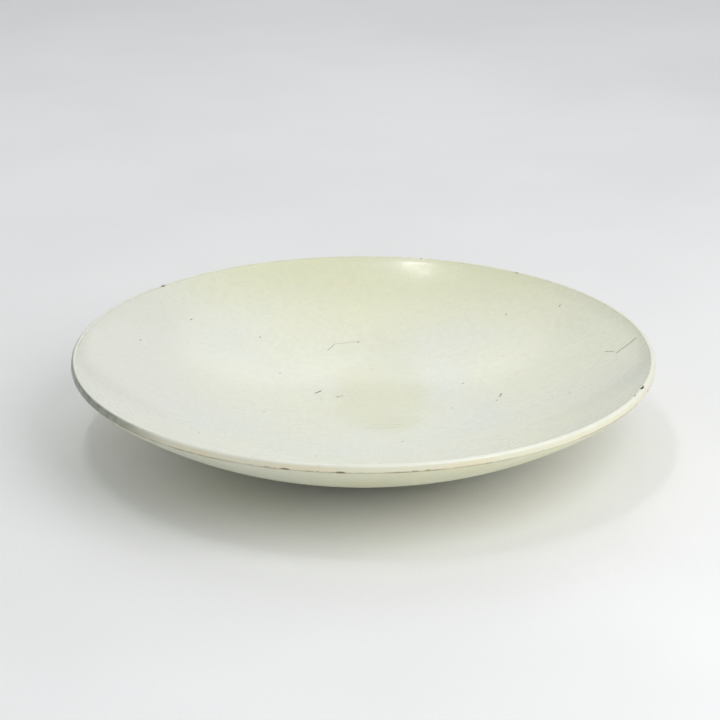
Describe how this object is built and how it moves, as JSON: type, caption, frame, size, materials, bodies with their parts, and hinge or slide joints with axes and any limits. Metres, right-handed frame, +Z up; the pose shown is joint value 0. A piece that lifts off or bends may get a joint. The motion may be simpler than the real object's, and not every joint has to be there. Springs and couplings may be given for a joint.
{
  "type": "dish-shaped slump mold",
  "caption": "Shallow round dish-shaped mold: a thin coated shell with a turned-up lip, a rounded rim over a narrow upright band and a low foot ring.",
  "frame": {"origin": "centre of the foot ring's resting face", "axes": "+Z up along the dish's axis, out of its mouth; X and Y are equal, because the dish is round"},
  "size_m": [0.302, 0.302, 0.05],
  "materials": {
    "moulded_body": "matte",
    "inside_coat": "satin",
    "rim_coat": "satin",
    "outside_coat": "satin",
    "base_coat": "satin"
  },
  "bodies": {
    "root": {"body_shell": "moulded_body", "inner_coating": "inside_coat", "rim_coating": "rim_coat", "outer_coating": "outside_coat", "base_coating": "base_coat"}
  },
  "joints": []
}
